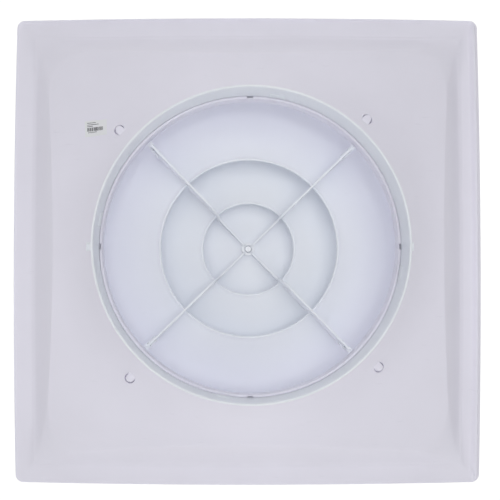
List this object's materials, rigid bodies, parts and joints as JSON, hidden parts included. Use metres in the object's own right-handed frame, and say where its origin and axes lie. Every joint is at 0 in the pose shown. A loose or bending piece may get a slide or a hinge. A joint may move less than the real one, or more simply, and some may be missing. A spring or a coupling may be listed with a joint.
{
  "type": "ceiling air diffuser",
  "caption": "Square lay-in ceiling diffuser seen from its duct side: a flared plastic panel, a round twist-on duct collar and a removable core of nested cones on crossed vanes.",
  "frame": {"origin": "centre of the room-side face, on the plane that the flange rests on", "axes": "+Z out of the duct collar, away from the room; X and Y along the panel's sides"},
  "size_m": [0.603, 0.603, 0.112],
  "materials": {
    "panel_plastic": "satin moulded",
    "collar_plastic": "satin moulded",
    "cone_plastic": "satin moulded",
    "latch_plastic": "satin moulded",
    "seal_foam": "closed-cell foam",
    "pin_steel": "zinc plated",
    "label_film": "printed film"
  },
  "bodies": {
    "panel": {"face_panel": "panel_plastic", "label": "label_film"},
    "collar": {"duct_collar": "collar_plastic", "collar_seal": "seal_foam"},
    "core": {"outer_cone": "cone_plastic", "middle_cone": "cone_plastic", "inner_cone": "cone_plastic", "core_hub": "cone_plastic", "vane_ne": "cone_plastic", "vane_nw": "cone_plastic", "vane_sw": "cone_plastic", "vane_se": "cone_plastic", "latch_pins": "pin_steel", "hub_screw": "pin_steel", "hub_washer": "pin_steel"},
    "latch_ne_arm": {"latch_ne": "latch_plastic"},
    "latch_nw_arm": {"latch_nw": "latch_plastic"},
    "latch_sw_arm": {"latch_sw": "latch_plastic"},
    "latch_se_arm": {"latch_se": "latch_plastic"}
  },
  "joints": [
    {"name": "collar_twist", "type": "hinge", "parent": "panel", "child": "collar", "pos_m": [0, 0, 0.08], "axis": [0, 0, 1], "range_deg": [0, 10]},
    {"name": "core_drop", "type": "slide", "parent": "panel", "child": "core", "axis": [0, 0, -1], "range_m": [0, 0.12]},
    {"name": "latch_ne_flex", "type": "hinge", "parent": "core", "child": "latch_ne_arm", "pos_m": [0.11239, 0.10891, 0.056], "axis": [0.6959, -0.7181, 0], "range_deg": [0, 8], "stiffness_Nm_per_rad": 0.05},
    {"name": "latch_nw_flex", "type": "hinge", "parent": "core", "child": "latch_nw_arm", "pos_m": [-0.10891, 0.11239, 0.056], "axis": [0.7181, 0.6959, 0], "range_deg": [0, 8], "stiffness_Nm_per_rad": 0.05},
    {"name": "latch_sw_flex", "type": "hinge", "parent": "core", "child": "latch_sw_arm", "pos_m": [-0.11239, -0.10891, 0.056], "axis": [-0.6959, 0.7181, 0], "range_deg": [0, 8], "stiffness_Nm_per_rad": 0.05},
    {"name": "latch_se_flex", "type": "hinge", "parent": "core", "child": "latch_se_arm", "pos_m": [0.10891, -0.11239, 0.056], "axis": [-0.7181, -0.6959, 0], "range_deg": [0, 8], "stiffness_Nm_per_rad": 0.05}
  ]
}
